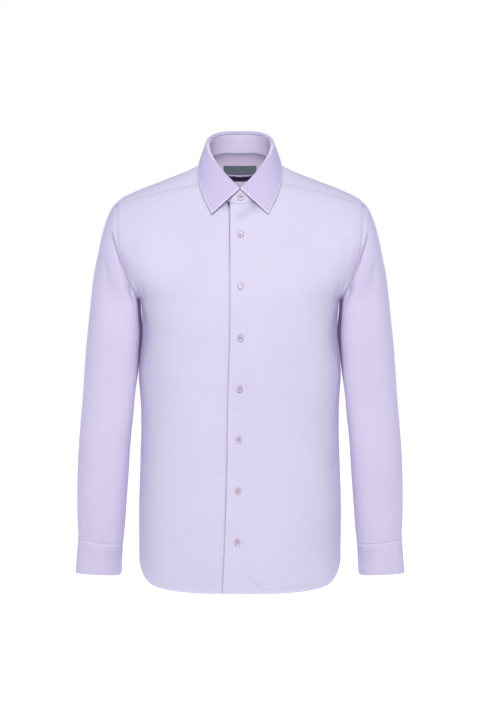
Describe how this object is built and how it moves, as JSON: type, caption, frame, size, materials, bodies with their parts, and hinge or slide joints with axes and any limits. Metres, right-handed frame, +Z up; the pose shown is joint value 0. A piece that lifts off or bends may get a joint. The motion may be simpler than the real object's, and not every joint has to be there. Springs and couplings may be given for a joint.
{
  "type": "long sleeve dress shirt",
  "caption": "Long sleeve dress shirt with a spread collar, buttoned front, split yoke line and barrel cuffs, kept in its worn, hollow form.",
  "frame": {"origin": "midway between the two side neck points, where the wearer's shoulders carry the shirt", "axes": "+Z up, -Y the front, +X the wearer's left"},
  "size_m": [0.5846, 0.243, 0.8193],
  "materials": {
    "shirt_cotton": "fine lilac cotton poplin, matt with a slight sheen",
    "button_pearl": "pearly mauve resin, polished",
    "label_weave": "plain grey woven tape, blank"
  },
  "bodies": {
    "root": {"front_left": "shirt_cotton", "front_right": "shirt_cotton", "back": "shirt_cotton", "yoke": "shirt_cotton", "collar_stand": "shirt_cotton", "collar_leaf": "shirt_cotton", "sleeve_left": "shirt_cotton", "sleeve_right": "shirt_cotton", "sleeve_placket_left": "shirt_cotton", "sleeve_placket_right": "shirt_cotton", "cuff_left": "shirt_cotton", "cuff_right": "shirt_cotton", "neck_label": "label_weave", "button_collar": "button_pearl", "button_front_1": "button_pearl", "button_front_2": "button_pearl", "button_front_3": "button_pearl", "button_front_4": "button_pearl", "button_front_5": "button_pearl", "button_front_6": "button_pearl", "button_front_7": "button_pearl", "cuff_button_left": "button_pearl", "cuff_button_right": "button_pearl"}
  },
  "joints": []
}
